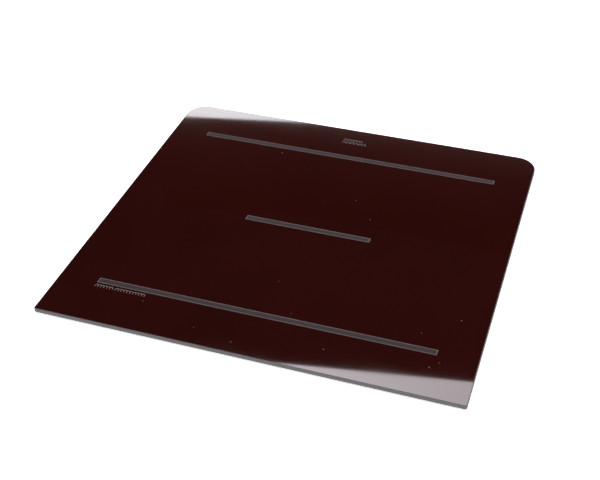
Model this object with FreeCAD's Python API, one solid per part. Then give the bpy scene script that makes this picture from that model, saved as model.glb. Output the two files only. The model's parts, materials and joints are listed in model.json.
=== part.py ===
import FreeCAD, Part
import math
import os

# Built-in induction hot plate, drop-in module.
# Frame: X to the right, Y to the rear, Z up. The origin is the centre of the worktop cut-out
# in the plane of the worktop's top face, where the rim seal rests. All sizes are millimetres.

# ---- glass plate, seal and worktop cut-out
glass_w = 350.0
glass_d = 331.0
glass_t = 4.0
glass_rear_r = 18.0
glass_front_r = 2.0
glass_edge_chamfer = 0.5
seal_t = 1.0
seal_w = 7.0
seal_inset = 3.0
rim_overhang = 12.0        # glass beyond the worktop cut-out
cutout_clear = 6.0         # support frame inside the cut-out

# ---- prints fired on the glass
print_t = 0.06
bar_w = 6.0
bar_outline_w = 0.9
long_bar_l = 283.6
short_bar_l = 113.0
bar_pitch = 117.4
print_shift_x = 1.0
print_shift_y = -0.7
hump_r = 1.55
hump_stroke = 0.5
rear_mark_w = 23.0
rear_mark_gap = 27.3       # rear bar to the middle of the rear mark
rear_row_gap = 1.2
rear_high_humps = 7
rear_low_humps = 6         # spread over the mark's full width
front_mark_gap = 6.6       # front bar to the middle of the front mark
front_group_gap = 2.0
front_first_humps = 6
front_second_humps = 10

# ---- support frame and coil support plate
frame_sheet = 1.2
frame_h = 23.3
frame_corner_r = 10.0
top_flange_w = 16.0
low_flange_w = 14.0
bead_t = 0.8
bead_w = 10.0
bead_inset = 2.0
plate_t = 1.5
plate_inset = 2.0
side_screw_shares = (0.33, 0.84)  # lip screws along each side, as shares of its half depth
end_screw_share = 0.42            # lip screws along front and rear, as a share of the half width
least_corner_r = 1.0

# ---- bottom tray
tray_sheet = 1.0
tray_depth = 37.4          # lip top face to the underside of the floor
tray_corner_r = 8.0
slot_w = 3.0
slot_pitch = 6.0
exhaust_slots = 7
exhaust_h = 20.0

# ---- joining sizes
nest_gap = 0.05            # radial clearance of pieces that sit in each other
run_gap = 0.05             # radial clearance of a shaft that turns
clear_gap = 0.3            # free space round pieces that move past each other
hole_gap = 0.25            # radial clearance of a screw in a through hole
tiny = 0.01                # less than any size, used to pick edges by place

# ---- screws: shank radius, head radius, head height
m4_r = 2.0
m4_head_r = 3.6
m4_head_h = 2.4
m3_r = 1.5
m3_head_r = 2.8
m3_head_h = 1.8
head_round_share = 0.45    # of the head height
head_slot_depth_share = 0.45
head_slot_w_share = 0.22   # of the head radius

# ---- coil
float_travel = 3.0
mica_t = 0.8
mica_w = 262.0
mica_d = 226.0
mica_corner_r = 12.0
litz_w = 3.2
litz_h = 4.0
turn_pitch = 4.0
turns = 20
winding_r = 28.0
former_r = 113.0
former_t = 2.0
coil_hole_r = 20.0
ferrite_l = 68.0
ferrite_w = 12.0
ferrite_t = 5.0
ferrite_count = 8
ferrite_start_r = 36.0
carrier_r = 116.0
carrier_t = 1.0
post_r = 2.0
post_at = 72.0
coil_spring_r = 4.0
coil_spring_wire_r = 0.4
spring_coils = 6
lead_r = 1.6
lead_post_r = 3.2
lead_post_h = 8.0

# ---- temperature sensors
sensor_x = 118.0
sensor_y = 92.0
sensor_cap_r = 6.0
sensor_cap_h = 8.0
sensor_cap_round = 0.6
sensor_stem_r = 2.0
sensor_wall = 1.7
sensor_guide = 2.0         # depth of the cap in its cup at rest
sensor_cup_floor = 3.0
sensor_spring_r = 3.6
sensor_spring_wire_r = 0.4

# ---- blower
blower_side_gap = 67.0     # blower axis to the right wall
blower_front_gap = 72.5    # blower axis to the front wall
blower_h = 28.0
blower_wall = 1.5
volute_gap = 6.0           # impeller to the scroll at its tightest
volute_step = 3.0
tongue_angle = 215.0
outlet_l = 55.0
boss_r = 3.9
intake_r = 25.0
impeller_r = 35.0
impeller_h = 21.5
blade_l = 8.0
foot_ring_w = 2.0
blade_t = 1.0
blade_count = 28
blade_tilt = 25.0
motor_r = 15.0
motor_h = 9.0
motor_round = 1.5
shaft_r = 1.5
shaft_l = 8.0
impeller_skin = 1.2
impeller_lift = 2.0        # free space under and over the impeller

# ---- power electronics
board_t = 1.6
board_w = 145.0
board_side_gap = 12.0
board_rear_gap = 4.5
spacer_h = 6.0
spacer_r = 3.5
spacer_margin = 8.0        # board edge to the spacer's axis
sink_side_gap = 32.0
sink_front_gap = 19.5
sink_l = 124.0
sink_w = 35.0
sink_h = 30.0
sink_base = 4.0
sink_wall = 4.0
fin_t = 1.5
fin_count = 7
board_gap = 0.5
chip_shares = (0.25, 0.5, 0.75)  # places along the heat sink: two transistors, one rectifier
chip_body_t = 5.0
chip_body_w = 16.0
chip_body_h = 19.0
chip_screw_drop = 4.75     # top of the package to its screw
pin_w = 1.2
pin_t = 0.8
film_cap = (30.0, 16.0, 22.0)
film_cap_count = 3
film_cap_round = 2.0
film_cap_y = 24.0
film_cap_pitch = 36.0
film_cap_margin = 18.0     # board edge to the first capacitor
choke_y = 80.0
choke_margin = 27.0        # board edge to the choke's axis
choke_r = 13.0
choke_tube = 4.0
choke_wire = 1.3
choke_turns = 22

# ---- mains terminal
term_w = 64.0
term_d = 50.5
term_side_gap = 10.0
term_h = 24.0
term_wall = 1.5
cover_t = 1.5
cover_margin = 2.5
cover_rib_w = 24.0
cover_rib_t = 2.0
cover_rib_h = 1.5
cover_rib_inset = 4.0      # cover edge to its finger rib
knuckle_r = 2.25
hinge_pin_r = 1.0
ear_w = 3.0
ear_h = 6.0                # tray floor to the top of the ear's stem
block_l = 46.0
block_d = 14.0
block_h = 13.5
block_poles = 5
block_gap = 2.0            # hinge knuckle to the block
sleeve_r = 3.0
sleeve_bore_r = 1.6
sleeve_inset = 1.0
block_well_r = 2.0
block_screw_inset = 0.5
mains_lead_r = 1.3
mains_leads = 3
mains_bend_r = 4.0
mains_row_gap = 8.0        # housing to the nearest row of leads
mains_row_pitch = 5.0
mains_foot_inset = 6.0     # board edge to where the leads are soldered
cord_r = 4.5
grip_at = 31.0             # housing front to the grip's middle
grip_w = 10.0
grip_l = 36.0
grip_t = 2.5
grip_screw_x = 13.0
grip_lug_r = 3.0
grip_lug_bore = 8.0
grip_screw_in = 7.0        # screw length in the lug
grip_relief = 0.5          # groove radius beyond the cord

# ---- fittings on the rear wall
fitting_h = 11.0           # tray floor to the axis of gland and stud
gland_hex_rim = 2.5
gland_hex_t = 5.0
gland_wall = 3.0
gland_tail = 7.0
gland_nut_rim = 1.5
gland_nut_t = 3.0
gland_relief = 1.0         # bore radius beyond the cord
gland_nose_wall = 1.0
gland_nose_l = 5.0
gland_cap_wall = 2.5
gland_cap_end = 3.0
gland_cap_round = 2.0
gland_ribs = 12
gland_rib_r = 0.8
gland_rib_end = 2.5        # cap end to the ribs' ends
gland_seal_l = 6.0
gland_seal_wall = 1.5
socket_at = 40.0           # board edge to the socket's middle
socket_w = 24.0
socket_h = 12.0
socket_out = 12.0
socket_in = 14.0
socket_wall = 2.0
socket_round = 1.0
socket_key_h = 1.0
socket_cavity_l = 10.0
contact_t = 0.6
contact_w = 1.4
contact_count = 5
contact_pitch = 3.0
contact_inset = 1.5
earth_x = 30.0
earth_collar_r = 3.5
earth_collar_t = 1.0
earth_l = 12.0
earth_head_r = 4.0
earth_head_t = 2.0

# ---- worktop clamps
clamp_gap = 7.5            # tray wall to the screw's axis
clamp_screw_r = 2.5
clamp_pitch = 0.8
clamp_turns = 28
clamp_head_r = 4.25
clamp_head_h = 3.0
clamp_head_round = 0.6
clamp_key_flats = 4.0
clamp_key_depth = 2.1
clamp_shoulder_h = 1.0
bracket_t = 1.5
bracket_leg_t = 1.0
bracket_w = 20.0
bracket_leg_h = 14.0
bracket_nose = 2.0         # bracket beyond the screw head
bracket_round = 3.0
nut_flats = 8.0
nut_h = 4.0
nut_collar_r = 4.0
nut_rim_r = 4.6
nut_rim_h = 0.5
nut_rim_gap = 0.1          # dog to the rim that holds it
dog_t = 2.0
dog_w = 11.0
dog_reach = 28.0
dog_tip_h = 1.0
dog_tip_l = 4.0

V = FreeCAD.Vector

# ---------------------------------------------------------------- levels and places that follow
glass_z0 = seal_t
glass_z1 = glass_z0 + glass_t
frame_z1 = glass_z0 - bead_t
frame_z0 = frame_z1 - frame_h
plate_z0 = frame_z0 - plate_t
lip_z0 = plate_z0 - tray_sheet
floor_z0 = plate_z0 - tray_depth
floor_z1 = floor_z0 + tray_sheet

frame_hw = glass_w / 2 - rim_overhang - cutout_clear
frame_hd = glass_d / 2 - rim_overhang - cutout_clear
tray_hw = frame_hw - low_flange_w
tray_hd = frame_hd - low_flange_w
tray_in_x = tray_hw - tray_sheet
tray_in_y = tray_hd - tray_sheet
lip_mid_x = tray_hw + (low_flange_w - plate_inset) / 2
lip_mid_y = tray_hd + (low_flange_w - plate_inset) / 2

mica_z0 = glass_z0 - mica_t
litz_z0 = mica_z0 - litz_h
former_z0 = litz_z0 - former_t
ferrite_z0 = former_z0 - ferrite_t
carrier_z0 = ferrite_z0 - carrier_t
lead_out_r = winding_r + turns * turn_pitch
sensor_places = [(0.0, 0.0), (-sensor_x, sensor_y), (sensor_x, -sensor_y)]

blower_x = tray_in_x - blower_side_gap
blower_y = blower_front_gap - tray_in_y
volute_r = impeller_r + volute_gap
volute_centre = V(blower_x, blower_y, 0)
tongue_y = blower_y + volute_r * math.sin(math.radians(tongue_angle))
lid_z0 = floor_z1 + blower_h - blower_wall
lid_z1 = floor_z1 + blower_h
board_z0 = floor_z1 + spacer_h
board_z1 = board_z0 + board_t
sink_x0 = sink_side_gap - tray_in_x
sink_y0 = sink_front_gap - tray_in_y
sink_y1 = sink_y0 + sink_w
board_x0 = board_side_gap - tray_in_x
board_x1 = board_x0 + board_w
board_y0 = sink_y1 + board_gap
board_y1 = tray_in_y - board_rear_gap
socket_x = board_x0 + socket_at

fitting_z = floor_z1 + fitting_h
term_x1 = tray_in_x - term_side_gap
term_x0 = term_x1 - term_w
term_y0 = tray_in_y - term_d
term_z1 = floor_z1 + term_h
term_mid_x = (term_x0 + term_x1) / 2
hinge_y = term_y0 + term_wall + knuckle_r + clear_gap
hinge_z = floor_z0 - cover_t / 2
block_z0 = term_z1 - term_wall - block_h
block_y0 = hinge_y + knuckle_r + block_gap
pole_pitch = block_l / block_poles
pole_z = block_z0 + block_h / 2
grip_y = term_y0 + grip_at
gland_x = term_mid_x
gland_thread_r = cord_r + gland_wall
gland_hex = 2 * (gland_thread_r + gland_hex_rim)
gland_nut_hex = 2 * (gland_thread_r + gland_nut_rim)
gland_nose_r = cord_r + gland_seal_wall + gland_nose_wall
gland_cap_r = gland_nose_r + gland_cap_wall

clamp_x = tray_hw + clamp_gap
clamp_travel = clamp_pitch * clamp_turns
dog_top_z = lip_z0 - clamp_travel - dog_tip_h - clear_gap
dog_z0 = dog_top_z - dog_t
nut_z0 = dog_z0 - nut_h
bracket_z1 = nut_z0 - clamp_shoulder_h - clear_gap
bracket_z0 = bracket_z1 - bracket_t


# ---------------------------------------------------------------- helpers
def box(x0, x1, y0, y1, z0, z1):
    return Part.makeBox(x1 - x0, y1 - y0, z1 - z0, V(x0, y0, z0))


def rod(x, y, z0, z1, r):
    return Part.makeCylinder(r, z1 - z0, V(x, y, z0))


def rod_x(x0, x1, y, z, r):
    return Part.makeCylinder(r, x1 - x0, V(x0, y, z), V(1, 0, 0))


def rod_y(x, y0, y1, z, r):
    return Part.makeCylinder(r, y1 - y0, V(x, y0, z), V(0, 1, 0))


def fuse(shapes):
    return shapes[0].fuse(shapes[1:]).removeSplitter()


def group(shapes):
    return Part.makeCompound(shapes)


def turned(shape, angle, centre=V(0, 0, 0), axis=V(0, 0, 1)):
    copy = shape.copy()
    copy.rotate(centre, axis, angle)
    return copy


def mirrored(shape):
    return shape.mirror(V(0, 0, 0), V(1, 0, 0))


def polar(centre, radius, angle):
    a = math.radians(angle)
    return V(centre.x + radius * math.cos(a), centre.y + radius * math.sin(a), centre.z)


def arc(centre, radius, start, end):
    points = [polar(centre, radius, angle) for angle in (start, (start + end) / 2, end)]
    return Part.Arc(*points).toShape()


def line(a, b):
    return Part.LineSegment(a, b).toShape()


def prism(edges, z0, z1):
    """Solid between two levels over a closed outline of edges drawn at level 0."""
    face = Part.Face(Part.Wire(Part.__sortEdges__(edges)))
    face.translate(V(0, 0, z0))
    return face.extrude(V(0, 0, z1 - z0))


def slab(half_w, half_d, z0, z1, rear_r, front_r=None):
    """Plate about the Z axis with rounded upright corners."""
    front_r = rear_r if front_r is None else front_r
    corners = [(1, 1, rear_r, 0), (-1, 1, rear_r, 90), (-1, -1, front_r, 180), (1, -1, front_r, 270)]
    edges = []
    for sx, sy, r, start in corners:
        edges.append(arc(V(sx * (half_w - r), sy * (half_d - r), 0), r, start, start + 90))
    for this, after in zip(list(edges), edges[1:] + edges[:1]):
        edges.append(line(this.Vertexes[-1].Point, after.Vertexes[0].Point))
    return prism(edges, z0, z1)


def ring(half_w, half_d, width, z0, z1, corner_r):
    """Flat band of one width inside a rounded outline."""
    inner_r = max(corner_r - width, least_corner_r)
    return slab(half_w, half_d, z0, z1, corner_r).cut(
        slab(half_w - width, half_d - width, z0, z1, inner_r))


def hexagon(flats, z0, z1):
    side_r = flats / math.sqrt(3)
    points = [polar(V(0, 0, 0), side_r, 60 * k) for k in range(7)]
    return prism([line(a, b) for a, b in zip(points, points[1:])], z0, z1)


def along_y(shape, x, y, z):
    """Shape drawn along +Z, laid along +Y with its foot at a point."""
    copy = turned(shape, -90, axis=V(1, 0, 0))
    copy.translate(V(x, y, z))
    return copy


def screw(shank_r, length, head_r, head_h):
    """Slotted pan-head screw: head above level 0, shank below it."""
    head = rod(0, 0, 0, head_h, head_r)
    rim = [e for e in head.Edges if e.BoundBox.ZMin > head_h - tiny]
    head = head.makeFillet(head_h * head_round_share, rim)
    half_slot = head_r * head_slot_w_share / 2
    slot_z0 = head_h * (1 - head_slot_depth_share)
    head = head.cut(box(-head_r, head_r, -half_slot, half_slot, slot_z0, head_h))
    return head.fuse(rod(0, 0, -length, 0, shank_r)).removeSplitter()


def placed(shape, x, y, z, direction=V(0, 0, 1)):
    """Copy of a shape drawn along +Z, moved to a point and pointed along a direction."""
    copy = shape.copy()
    copy.Placement = FreeCAD.Placement(V(x, y, z), FreeCAD.Rotation(V(0, 0, 1), direction))
    return copy


def spring(x, y, z0, z1, mean_r, wire_r, coils):
    """Coil spring of tilted half rings that meet face to face in the plane through its axis."""
    rise = (z1 - z0 - 2 * wire_r) / coils / 2
    tilt = math.atan(rise / 2 / mean_r)
    ring_r = mean_r / math.cos(tilt)
    halves = []
    for k in range(2 * coils):
        half = Part.makeTorus(ring_r, wire_r, V(0, 0, 0), V(0, 0, 1), 0, 360, 180)
        half = turned(half, 180 * (k % 2))
        half = turned(half, math.degrees(tilt) * (-1) ** k, axis=V(0, 1, 0))
        half.translate(V(x, y, z0 + wire_r + rise * (k + 0.5)))
        halves.append(half)
    return fuse(halves)


def lead(points, wire_r, bend_r):
    """Round lead along straight runs joined by tangent arcs."""
    edges = []
    start = points[0]
    for before, corner, after in zip(points, points[1:], points[2:]):
        into = (corner - before).normalize()
        out = (after - corner).normalize()
        half_turn = into.getAngle(out) / 2
        reach = bend_r * math.tan(half_turn)
        inward = (out - into).normalize()
        middle = corner + inward * (bend_r / math.cos(half_turn) - bend_r)
        edges.append(line(start, corner - into * reach))
        edges.append(Part.Arc(corner - into * reach, middle, corner + out * reach).toShape())
        start = corner + out * reach
    edges.append(line(start, points[-1]))
    first = (points[1] - points[0]).normalize()
    section = Part.Wire(Part.makeCircle(wire_r, points[0], first))
    return Part.Wire(edges).makePipeShell([section], True, False)


# ---------------------------------------------------------------- glass, seal and prints
def glass_plate():
    plate = slab(glass_w / 2, glass_d / 2, glass_z0, glass_z1, glass_rear_r, glass_front_r)
    flat_edges = [e for e in plate.Edges if e.BoundBox.ZLength < tiny]
    return plate.makeChamfer(glass_edge_chamfer, flat_edges)


def rim_seal():
    half_w = glass_w / 2 - seal_inset
    half_d = glass_d / 2 - seal_inset
    return ring(half_w, half_d, seal_w, 0, seal_t, glass_rear_r - seal_inset)


def bar_places():
    """Centre and length of each printed bar, rear to front."""
    lengths = (long_bar_l, short_bar_l, long_bar_l)
    return [(print_shift_x, print_shift_y + (1 - k) * bar_pitch, l) for k, l in enumerate(lengths)]


def bar(x, y, length, width):
    return box(x - length / 2, x + length / 2, y - width / 2, y + width / 2,
               glass_z1, glass_z1 + print_t)


def bar_fields():
    inset = 2 * bar_outline_w
    return group([bar(x, y, l - inset, bar_w - inset) for x, y, l in bar_places()])


def bar_outlines():
    inset = 2 * bar_outline_w
    return group([bar(x, y, l, bar_w).cut(bar(x, y, l - inset, bar_w - inset))
                  for x, y, l in bar_places()])


def hump(x, y):
    """One loop of the generic coil symbol: half a ring on two short legs."""
    level = glass_z1
    outer = rod(x, y, level, level + print_t, hump_r)
    outer = outer.fuse(box(x - hump_r, x + hump_r, y - hump_r, y, level, level + print_t))
    inner_r = hump_r - hump_stroke
    inner = rod(x, y, level, level + print_t, inner_r)
    inner = inner.fuse(box(x - inner_r, x + inner_r, y - hump_r, y, level, level + print_t))
    return outer.cut(inner)


def hump_row(x0, y, count, pitch):
    """Humps side by side from a place on."""
    return fuse([hump(x0 + hump_r + k * pitch, y) for k in range(count)])


def marks():
    """Two rows of humps behind the rear bar, and two groups in one row before the front bar."""
    joined = 2 * hump_r - hump_stroke
    spread = (rear_mark_w - 2 * hump_r) / (rear_low_humps - 1)
    rear_x = 2 * print_shift_x - rear_mark_w / 2
    rear_y = print_shift_y + bar_pitch + rear_mark_gap
    row_y = hump_r + rear_row_gap / 2
    front_x = print_shift_x - long_bar_l / 2
    front_y = print_shift_y - bar_pitch - front_mark_gap
    second_x = front_x + front_first_humps * joined + hump_stroke + front_group_gap
    rows = [hump_row(rear_x, rear_y + row_y, rear_high_humps, joined),
            hump_row(rear_x, rear_y - row_y, rear_low_humps, spread),
            hump_row(front_x, front_y, front_first_humps, joined),
            hump_row(second_x, front_y, front_second_humps, joined)]
    return group([solid for row in rows for solid in row.Solids])


# ---------------------------------------------------------------- frame, plate and tray
def lip_screw_places():
    side = [(sx * lip_mid_x, sy * share * tray_hd) for sx in (-1, 1) for sy in (-1, 1)
            for share in side_screw_shares]
    ends = [(sx * end_screw_share * tray_hw, sy * lip_mid_y) for sx in (-1, 1) for sy in (-1, 1)]
    return side + ends


def clamp_holes(z0, z1):
    return [rod(sx * clamp_x, 0, z0, z1, clamp_screw_r + hole_gap) for sx in (-1, 1)]


def lip_holes(z0, z1, gap):
    return [rod(x, y, z0, z1, m4_r + gap) for x, y in lip_screw_places()] + clamp_holes(z0, z1)


def adhesive_bead():
    return ring(frame_hw - bead_inset, frame_hd - bead_inset, bead_w, frame_z1, glass_z0,
                frame_corner_r - bead_inset)


def support_frame():
    skirt = ring(frame_hw, frame_hd, frame_sheet, frame_z0, frame_z1, frame_corner_r)
    top = ring(frame_hw, frame_hd, top_flange_w, frame_z1 - frame_sheet, frame_z1, frame_corner_r)
    low = ring(frame_hw, frame_hd, low_flange_w, frame_z0, frame_z0 + frame_sheet, frame_corner_r)
    low = low.cut(lip_holes(frame_z0, frame_z0 + frame_sheet, nest_gap))
    return fuse([skirt, top, low])


def frame_screws():
    stack = tray_sheet + plate_t + frame_sheet
    one = screw(m4_r, stack + m4_r / 2, m4_head_r, m4_head_h)
    return group([placed(one, x, y, lip_z0, V(0, 0, -1)) for x, y in lip_screw_places()])


def coil_support_plate():
    plate = slab(frame_hw - plate_inset, frame_hd - plate_inset, plate_z0, frame_z0,
                 frame_corner_r - plate_inset)
    leads = [rod(x, 0, plate_z0, frame_z0, lead_r + hole_gap) for x in (-winding_r, -lead_out_r)]
    return plate.cut(lip_holes(plate_z0, frame_z0, hole_gap) + leads)


def intake_slots():
    """Parallel slots that fill the round blower intake."""
    count = int(intake_r / slot_pitch)
    cuts = []
    for k in range(-count, count + 1):
        y = blower_y + k * slot_pitch
        half = math.sqrt(intake_r ** 2 - (k * slot_pitch) ** 2) - slot_w / 2
        cuts.append(box(blower_x - half, blower_x + half, y - slot_w / 2, y + slot_w / 2,
                        floor_z0, floor_z1))
    return cuts


def exhaust_cuts():
    """Upright slots in the left wall, level with the heat sink."""
    mid_y = sink_y0 + sink_w / 2
    step = sink_w / exhaust_slots
    z0 = floor_z1 + sink_base
    cuts = []
    for k in range(exhaust_slots):
        y = mid_y + (k - (exhaust_slots - 1) / 2) * step
        cuts.append(box(-tray_hw, -tray_in_x, y - slot_w / 2, y + slot_w / 2, z0, z0 + exhaust_h))
    return cuts


def terminal_window(z0, z1):
    """The hatch opening under the terminal housing."""
    return box(term_x0 + term_wall, term_x1 - term_wall, term_y0 + term_wall,
               tray_in_y - term_wall, z0, z1)


def bottom_tray():
    shell = slab(tray_hw, tray_hd, floor_z0, plate_z0, tray_corner_r)
    lip = slab(frame_hw - plate_inset, frame_hd - plate_inset, lip_z0, plate_z0,
               frame_corner_r - plate_inset)
    hollow = slab(tray_in_x, tray_in_y, floor_z1, plate_z0, tray_corner_r - tray_sheet)
    cuts = [hollow, terminal_window(floor_z0, floor_z1)]
    cuts += lip_holes(lip_z0, plate_z0, hole_gap) + intake_slots() + exhaust_cuts()
    cuts += [rod(p.x, p.y, floor_z0, floor_z1, m3_r + nest_gap) for p in boss_places()]
    cuts.append(rod_y(gland_x, tray_in_y, tray_hd, fitting_z, gland_thread_r + nest_gap))
    cuts.append(rod_y(earth_x, tray_in_y, tray_hd, fitting_z, m4_r + nest_gap))
    cuts.append(box(socket_x - socket_w / 2 - hole_gap, socket_x + socket_w / 2 + hole_gap,
                    tray_in_y, tray_hd, board_z1, board_z1 + socket_h + hole_gap))
    return shell.fuse(lip).cut(cuts).removeSplitter()


# ---------------------------------------------------------------- coil
def mica_sheet():
    sheet = slab(mica_w / 2, mica_d / 2, mica_z0, glass_z0, mica_corner_r)
    return sheet.cut([rod(x, y, mica_z0, glass_z0, sensor_cap_r + 2 * clear_gap)
                      for x, y in sensor_places])


def spiral_edges(offset):
    """Half turns about two centres half a pitch apart, from the inner end outwards."""
    edges = []
    for k in range(2 * turns):
        centre = V(-turn_pitch / 2 if k % 2 else 0, 0, 0)
        radius = winding_r + k * turn_pitch / 2 + offset
        start = 180 if k % 2 == 0 else 360
        edges.append(arc(centre, radius, start, start + 180))
    return edges


def coil_winding():
    inner = spiral_edges(-litz_w / 2)
    outer = spiral_edges(litz_w / 2)
    ends = [line(inner[0].Vertexes[0].Point, outer[0].Vertexes[0].Point),
            line(inner[-1].Vertexes[-1].Point, outer[-1].Vertexes[-1].Point)]
    return prism(inner + outer + ends, litz_z0, mica_z0)


def coil_disc(radius, z0, z1):
    holes = [rod(x, 0, z0, z1, lead_r + hole_gap) for x in (-winding_r, -lead_out_r)]
    return rod(0, 0, z0, z1, radius).cut([rod(0, 0, z0, z1, coil_hole_r)] + holes)


def coil_former():
    return coil_disc(former_r, former_z0, litz_z0)


def ferrite_bars():
    bar_at_rest = box(ferrite_start_r, ferrite_start_r + ferrite_l, -ferrite_w / 2, ferrite_w / 2,
                      ferrite_z0, former_z0)
    step = 360 / ferrite_count
    return group([turned(bar_at_rest, (k + 0.5) * step) for k in range(ferrite_count)])


def post_places():
    return [(sx * post_at, sy * post_at) for sx in (-1, 1) for sy in (-1, 1)]


def coil_carrier():
    disc = coil_disc(carrier_r, carrier_z0, ferrite_z0)
    return disc.cut([rod(x, y, carrier_z0, ferrite_z0, post_r + clear_gap) for x, y in post_places()])


def guide_posts():
    top = former_z0 - float_travel - 2 * clear_gap
    return group([rod(x, y, frame_z0, top, post_r) for x, y in post_places()])


def coil_springs():
    return group([spring(x, y, frame_z0, carrier_z0, coil_spring_r, coil_spring_wire_r, spring_coils)
                  for x, y in post_places()])


def lead_posts():
    return group([rod(x, 0, board_z1, board_z1 + lead_post_h, lead_post_r)
                  for x in (-winding_r, -lead_out_r)])


def coil_leads():
    return group([rod(x, 0, board_z1 + lead_post_h, litz_z0, lead_r)
                  for x in (-winding_r, -lead_out_r)])


# ---------------------------------------------------------------- temperature sensors
def sensor_levels():
    cap_z0 = glass_z0 - sensor_cap_h
    floor_top = frame_z0 + sensor_cup_floor
    return cap_z0, floor_top


def sensor_holders():
    bore_r = sensor_cap_r + clear_gap
    cap_z0, floor_top = sensor_levels()
    top = cap_z0 + sensor_guide
    cups = []
    for x, y in sensor_places:
        cup = rod(x, y, frame_z0, top, bore_r + sensor_wall)
        cup = cup.cut([rod(x, y, floor_top, top, bore_r),
                       rod(x, y, frame_z0, floor_top, sensor_stem_r + 2 * clear_gap)])
        cups.append(cup)
    return group(cups)


def sensor_cap(x, y):
    cap_z0, floor_top = sensor_levels()
    cap = rod(x, y, cap_z0, glass_z0, sensor_cap_r)
    cap = cap.makeFillet(sensor_cap_round, [e for e in cap.Edges if e.BoundBox.ZMin > glass_z0 - tiny])
    return cap.fuse(rod(x, y, floor_top + clear_gap, cap_z0, sensor_stem_r)).removeSplitter()


def sensor_spring(x, y):
    cap_z0, floor_top = sensor_levels()
    return spring(x, y, floor_top, cap_z0, sensor_spring_r, sensor_spring_wire_r, spring_coils)


# ---------------------------------------------------------------- blower
def volute(inset, z0, z1):
    """Scroll of four arcs of growing radius that opens into a straight outlet to the left."""
    radii = [volute_r + k * volute_step - inset for k in range(4)]
    shifts = [V(0, 0, 0), V(volute_step, 0, 0), V(volute_step, -volute_step, 0), V(0, -volute_step, 0)]
    centres = [volute_centre + s for s in shifts]
    edge_y = tongue_y - inset
    start = 180 + math.degrees(math.asin((blower_y - edge_y) / radii[0]))
    spans = [(start, 180), (180, 90), (90, 0), (0, -90)]
    edges = [arc(c, r, a, b) for c, r, (a, b) in zip(centres, radii, spans)]
    tongue = polar(centres[0], radii[0], start)
    bottom = polar(centres[3], radii[3], -90)
    out_x = volute_centre.x - outlet_l
    edges.append(line(bottom, V(out_x, bottom.y, 0)))
    edges.append(line(V(out_x, bottom.y, 0), V(out_x, edge_y, 0)))
    edges.append(line(V(out_x, edge_y, 0), tongue))
    return prism(edges, z0, z1)


def boss_places():
    """Screw bosses just outside the scroll wall."""
    reach = m3_head_r
    return [polar(volute_centre + V(volute_step, 0, 0), volute_r + volute_step + reach, 135),
            polar(volute_centre + V(volute_step, -volute_step, 0), volute_r + 2 * volute_step + reach, 45),
            polar(volute_centre + V(0, -volute_step, 0), volute_r + 3 * volute_step + reach, -45),
            V(volute_centre.x - outlet_l + 2 * m3_head_r, tongue_y + reach, 0)]


def bosses(z0, z1, r):
    return [rod(p.x, p.y, z0, z1, r) for p in boss_places()]


def blower_housing():
    shell = fuse([volute(0, floor_z1, lid_z0)] + bosses(floor_z1, lid_z0, boss_r))
    hollow = volute(blower_wall, floor_z1 + blower_wall, lid_z0)
    intake = rod(blower_x, blower_y, floor_z1, floor_z1 + blower_wall, intake_r)
    return shell.cut([hollow, intake] + bosses(floor_z1, lid_z0, m3_r + nest_gap))


def blower_lid():
    lid = fuse([volute(0, lid_z0, lid_z1)] + bosses(lid_z0, lid_z1, boss_r))
    return lid.cut(bosses(lid_z0, lid_z1, m3_r + nest_gap))


def blower_screws():
    one = screw(m3_r, lid_z1 - floor_z0, m3_head_r, m3_head_h)
    return group([placed(one, p.x, p.y, lid_z1) for p in boss_places()])


def blower_motor():
    can = rod(blower_x, blower_y, lid_z0 - motor_h, lid_z0, motor_r)
    can = can.makeFillet(motor_round, [e for e in can.Edges if e.BoundBox.ZMax < lid_z0 - motor_h + tiny])
    return can.fuse(rod(blower_x, blower_y, lid_z0 - motor_h - shaft_l, lid_z0 - motor_h, shaft_r))


def blower_impeller():
    top = lid_z0 - impeller_lift
    foot = top - impeller_h
    cup_r = motor_r + impeller_lift + impeller_skin
    cup_z0 = lid_z0 - motor_h - impeller_skin - clear_gap
    hub_z0 = lid_z0 - motor_h - shaft_l
    x, y = blower_x, blower_y
    disc = rod(x, y, top - impeller_skin, top, impeller_r).cut(rod(x, y, foot, top, cup_r - impeller_skin))
    cup = rod(x, y, cup_z0, top, cup_r).cut(rod(x, y, cup_z0 + impeller_skin, top, cup_r - impeller_skin))
    hub = rod(x, y, hub_z0, cup_z0 + impeller_skin, 3 * shaft_r)
    foot_ring = rod(x, y, foot, foot + impeller_skin, impeller_r).cut(
        rod(x, y, foot, foot + impeller_skin, impeller_r - foot_ring_w))
    blade = box(x - blade_l / 2, x + blade_l / 2, y - blade_t / 2, y + blade_t / 2, foot, top)
    blade = turned(blade, blade_tilt, V(x, y, 0))
    blade.translate(V(impeller_r - blade_l / 2 - blade_t / 2, 0, 0))
    blades = [turned(blade, 360 * k / blade_count, V(x, y, 0)) for k in range(blade_count)]
    wheel = fuse([disc, cup, hub, foot_ring] + blades)
    return wheel.cut(rod(x, y, hub_z0, cup_z0 + impeller_skin, shaft_r + run_gap))


# ---------------------------------------------------------------- power electronics
def spacer_places():
    x_places = (board_x0 + spacer_margin, board_x1 - spacer_margin)
    y_places = (board_y0 + spacer_margin, (board_y0 + board_y1) / 2, board_y1 - spacer_margin)
    return [(x, y) for x in x_places for y in y_places]


def power_board():
    board = box(board_x0, board_x1, board_y0, board_y1, board_z0, board_z1)
    return board.cut([rod(x, y, board_z0, board_z1, m3_r + nest_gap) for x, y in spacer_places()])


def board_spacers():
    return group([rod(x, y, floor_z1, board_z0, spacer_r).cut(
        rod(x, y, floor_z1, board_z0, m3_r + nest_gap)) for x, y in spacer_places()])


def board_screws():
    one = screw(m3_r, board_t + spacer_h - m3_r, m3_head_r, m3_head_h)
    return group([placed(one, x, y, board_z1) for x, y in spacer_places()])


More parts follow.
